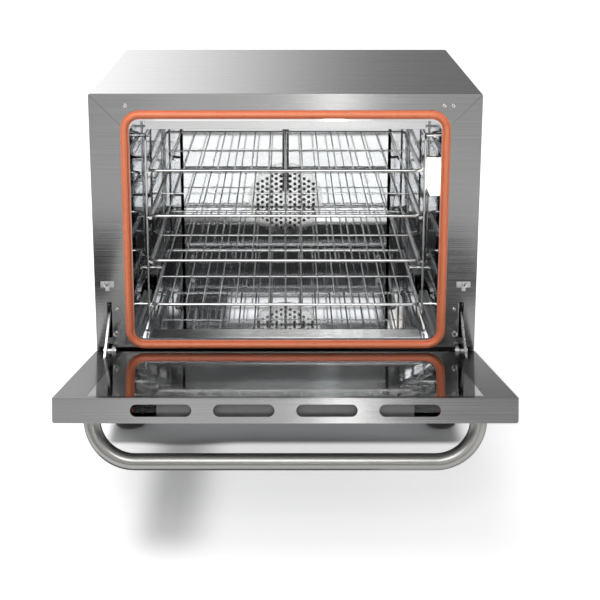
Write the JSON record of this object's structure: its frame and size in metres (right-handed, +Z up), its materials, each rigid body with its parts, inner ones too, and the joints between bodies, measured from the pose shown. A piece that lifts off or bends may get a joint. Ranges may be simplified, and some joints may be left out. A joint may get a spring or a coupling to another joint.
{
  "type": "convection oven",
  "caption": "Countertop stainless convection oven with an open bottom-hinged glass door, wire racks on side ladders, an orange seal and a rear fan.",
  "frame": {"origin": "middle of the object's bounding box in plan, on the surface that the feet stand on", "axes": "+X to the right seen from the front, +Y to the back, +Z up"},
  "size_m": [0.6, 0.948, 0.563],
  "materials": {
    "brushed_stainless": "brushed stainless sheet",
    "polished_stainless": "polished stainless sheet, mirror-like",
    "galvanised_steel": "plain zinc-coated sheet",
    "wire_steel": "polished round wire",
    "screw_steel": "plain machined steel",
    "handle_steel": "satin-polished round tube",
    "orange_silicone": "soft satin silicone",
    "foot_rubber": "matt black rubber",
    "mineral_wool": "loose mineral wool",
    "dark_glass": "dark reflective tempered glass",
    "lamp_glass": "frosted borosilicate glass",
    "lamp_white": "lit halogen bulb",
    "heater_sheath": "oxidised heater sheath",
    "motor_black": "black painted metal",
    "cast_aluminium": "pressed aluminium",
    "inlet_brass": "plain brass",
    "black_plastic": "matt black plastic",
    "amber_lens": "clear amber lens",
    "white_ceramic": "unglazed white ceramic"
  },
  "bodies": {
    "oven_body": {"outer_casing": "brushed_stainless", "front_frame": "brushed_stainless", "rear_panel": "brushed_stainless", "base_pan": "galvanised_steel", "control_panel": "brushed_stainless", "cavity_liner": "polished_stainless", "insulation": "mineral_wool", "door_seal": "orange_silicone", "foot_front_left": "foot_rubber", "foot_front_right": "foot_rubber", "foot_rear_left": "foot_rubber", "foot_rear_right": "foot_rubber", "ladder_left": "wire_steel", "ladder_right": "wire_steel", "ladder_studs": "wire_steel", "air_baffle": "polished_stainless", "baffle_screws": "screw_steel", "fan_guard": "polished_stainless", "heating_element": "heater_sheath", "steam_tube": "polished_stainless", "temperature_probe": "screw_steel", "lamp_housing": "galvanised_steel", "lamp_bulb": "lamp_white", "lamp_glass": "lamp_glass", "motor_plate": "galvanised_steel", "fan_motor": "motor_black", "exhaust_pipe": "brushed_stainless", "water_inlet": "inlet_brass", "cable_gland": "black_plastic", "terminal_block": "white_ceramic", "hinge_receiver_left": "galvanised_steel", "hinge_receiver_right": "galvanised_steel", "frame_screws": "screw_steel", "thermostat": "motor_black", "timer": "motor_black", "steam_switch": "black_plastic", "pilot_lamps": "amber_lens"},
    "fan": {"fan_wheel": "cast_aluminium", "fan_shaft": "screw_steel", "fan_nut": "screw_steel"},
    "door": {"door_skin": "brushed_stainless", "door_outer_glass": "dark_glass", "door_inner_frame": "brushed_stainless", "door_inner_glass": "dark_glass", "hinge_carrier_left": "galvanised_steel", "hinge_carrier_right": "galvanised_steel", "hinge_pins": "screw_steel", "door_handle": "handle_steel", "handle_rosettes": "handle_steel"},
    "left_stay": {"stay_arm_left": "screw_steel"},
    "right_stay": {"stay_arm_right": "screw_steel"},
    "top_rack": {"rack_1": "wire_steel"},
    "second_rack": {"rack_2": "wire_steel"},
    "third_rack": {"rack_3": "wire_steel"},
    "bottom_rack": {"rack_4": "wire_steel"},
    "thermostat_dial": {"thermostat_knob": "black_plastic"},
    "timer_dial": {"timer_knob": "black_plastic"},
    "steam_key": {"steam_button": "black_plastic"}
  },
  "joints": [
    {"name": "door_hinge", "type": "hinge", "parent": "oven_body", "child": "door", "pos_m": [0, -0.06599, 0.153], "axis": [1, 0, 0], "range_deg": [-78.14, 0]},
    {"name": "left_stay_swing", "type": "hinge", "parent": "door", "child": "left_stay", "pos_m": [-0.278, -0.13377, 0.1611], "axis": [1, 0, 0], "range_deg": [0, 52.2]},
    {"name": "right_stay_swing", "type": "hinge", "parent": "door", "child": "right_stay", "pos_m": [0.278, -0.13377, 0.1611], "axis": [1, 0, 0], "range_deg": [0, 52.2]},
    {"name": "top_rack_slide", "type": "slide", "parent": "oven_body", "child": "top_rack", "axis": [0, -1, 0], "range_m": [0, 0.25]},
    {"name": "second_rack_slide", "type": "slide", "parent": "oven_body", "child": "second_rack", "axis": [0, -1, 0], "range_m": [0, 0.25]},
    {"name": "third_rack_slide", "type": "slide", "parent": "oven_body", "child": "third_rack", "axis": [0, -1, 0], "range_m": [0, 0.25]},
    {"name": "bottom_rack_slide", "type": "slide", "parent": "oven_body", "child": "bottom_rack", "axis": [0, -1, 0], "range_m": [0, 0.25]},
    {"name": "fan_spin", "type": "hinge", "parent": "oven_body", "child": "fan", "pos_m": [0, 0.34401, 0.304], "axis": [0, 1, 0], "continuous": true},
    {"name": "thermostat_turn", "type": "hinge", "parent": "oven_body", "child": "thermostat_dial", "pos_m": [-0.09, -0.05599, 0.086], "axis": [0, 1, 0], "range_deg": [0, 280]},
    {"name": "timer_turn", "type": "hinge", "parent": "oven_body", "child": "timer_dial", "pos_m": [0.09, -0.05599, 0.086], "axis": [0, 1, 0], "range_deg": [0, 300]},
    {"name": "steam_press", "type": "slide", "parent": "oven_body", "child": "steam_key", "axis": [0, 1, 0], "range_m": [0, 0.003], "stiffness_N_per_m": 400}
  ],
  "couplings": [
    {"joint": "left_stay_swing", "follows": "door_hinge", "ratio": -0.66726},
    {"joint": "right_stay_swing", "follows": "door_hinge", "ratio": -0.66726}
  ]
}
